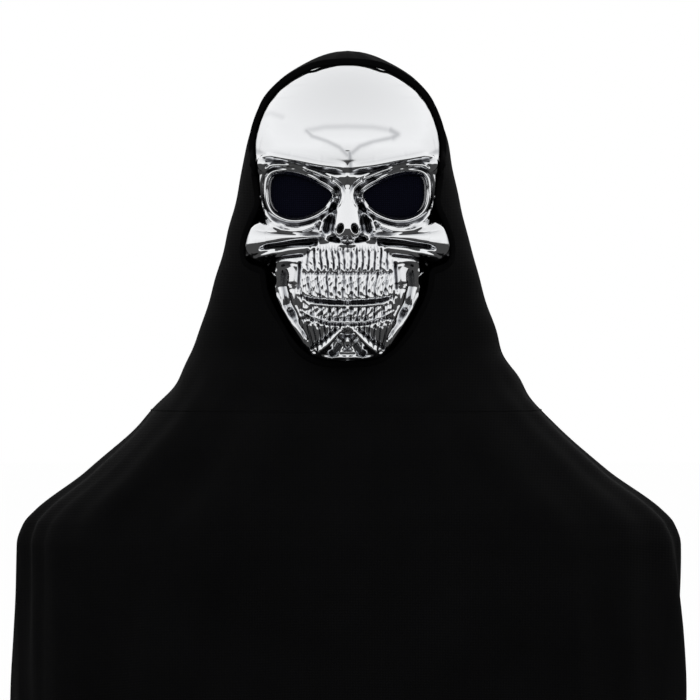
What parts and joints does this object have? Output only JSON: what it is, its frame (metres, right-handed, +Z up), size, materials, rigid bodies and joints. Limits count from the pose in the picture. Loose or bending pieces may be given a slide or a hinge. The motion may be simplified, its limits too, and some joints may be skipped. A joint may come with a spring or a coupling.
{
  "type": "hooded skull mask",
  "caption": "Rigid bright skull face mask on an elastic head band, with dark gauze eyes and a black cloth hood and shoulder cape.",
  "frame": {"origin": "centre of the wearer's head at eye level", "axes": "+Z up, -Y the way the mask faces, +X the wearer's left"},
  "size_m": [0.5946, 0.312, 0.6172],
  "materials": {
    "chrome_shell": "vacuum-metallised plastic",
    "gauze": "fine open weave",
    "hood_cloth": "matt black cloth",
    "binding": "folded black tape",
    "elastic": "ribbed woven elastic",
    "rivet": "plated"
  },
  "bodies": {
    "root": {"face_shell": "chrome_shell", "eye_gauze_left": "gauze", "eye_gauze_right": "gauze", "hood_left": "hood_cloth", "hood_right": "hood_cloth", "cape_front": "hood_cloth", "cape_back": "hood_cloth", "face_edge_binding": "binding", "elastic_band": "elastic", "strap_rivet_left": "rivet", "strap_rivet_right": "rivet", "strap_washer_left": "rivet", "strap_washer_right": "rivet"}
  },
  "joints": []
}
